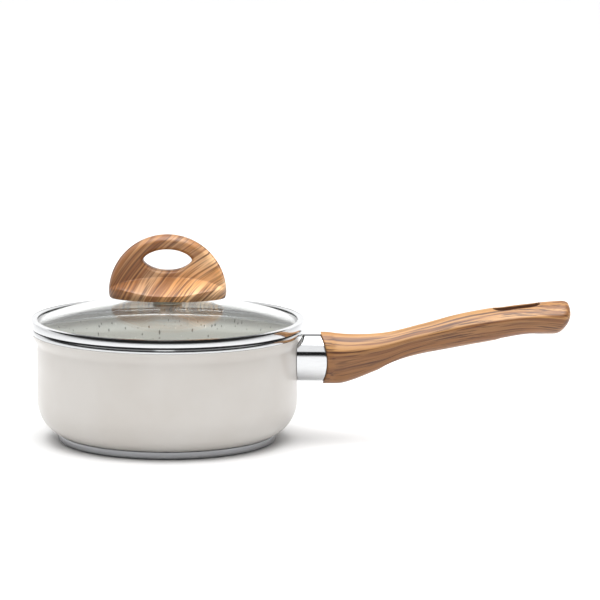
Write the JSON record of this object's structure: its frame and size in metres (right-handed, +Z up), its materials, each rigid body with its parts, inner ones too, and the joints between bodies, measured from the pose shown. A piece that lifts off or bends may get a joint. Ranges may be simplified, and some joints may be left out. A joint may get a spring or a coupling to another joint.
{
  "type": "saucepan with glass lid",
  "caption": "Round metal saucepan with a long wood-effect handle and a lift-off domed glass lid with an arched knob.",
  "frame": {"origin": "centre of the pan's underside, on the pan's axis", "axes": "+X along the handle, away from the pan; +Z up, the way the lid lifts"},
  "size_m": [0.3301, 0.168, 0.1265],
  "materials": {
    "cream_enamelled_aluminium": "warm cream coating outside, speckled grey non-stick coating inside, bare machined lip",
    "bare_aluminium": "plain mill finish",
    "stainless_steel": "satin",
    "polished_steel": "polished",
    "wood_effect_phenolic": "olive-wood grain film, satin",
    "tempered_glass": "clear with a faint green tint",
    "brass": "turned",
    "silicone": "translucent white, matt"
  },
  "bodies": {
    "pan": {"pan_body": "cream_enamelled_aluminium", "base_core": "bare_aluminium", "base_cap": "stainless_steel", "handle_boss": "bare_aluminium", "flame_guard": "polished_steel", "handle": "wood_effect_phenolic", "handle_screw": "stainless_steel", "lock_washer": "stainless_steel"},
    "lid": {"lid_glass": "tempered_glass", "lid_rim": "polished_steel", "vent_eyelet": "stainless_steel", "knob": "wood_effect_phenolic", "knob_insert": "brass", "knob_screw": "stainless_steel", "knob_washer": "stainless_steel", "knob_gasket_upper": "silicone", "knob_gasket_lower": "silicone"}
  },
  "joints": [
    {"name": "lid_lift", "type": "slide", "parent": "pan", "child": "lid", "axis": [0, 0, 1], "range_m": [0, 0.12]}
  ]
}
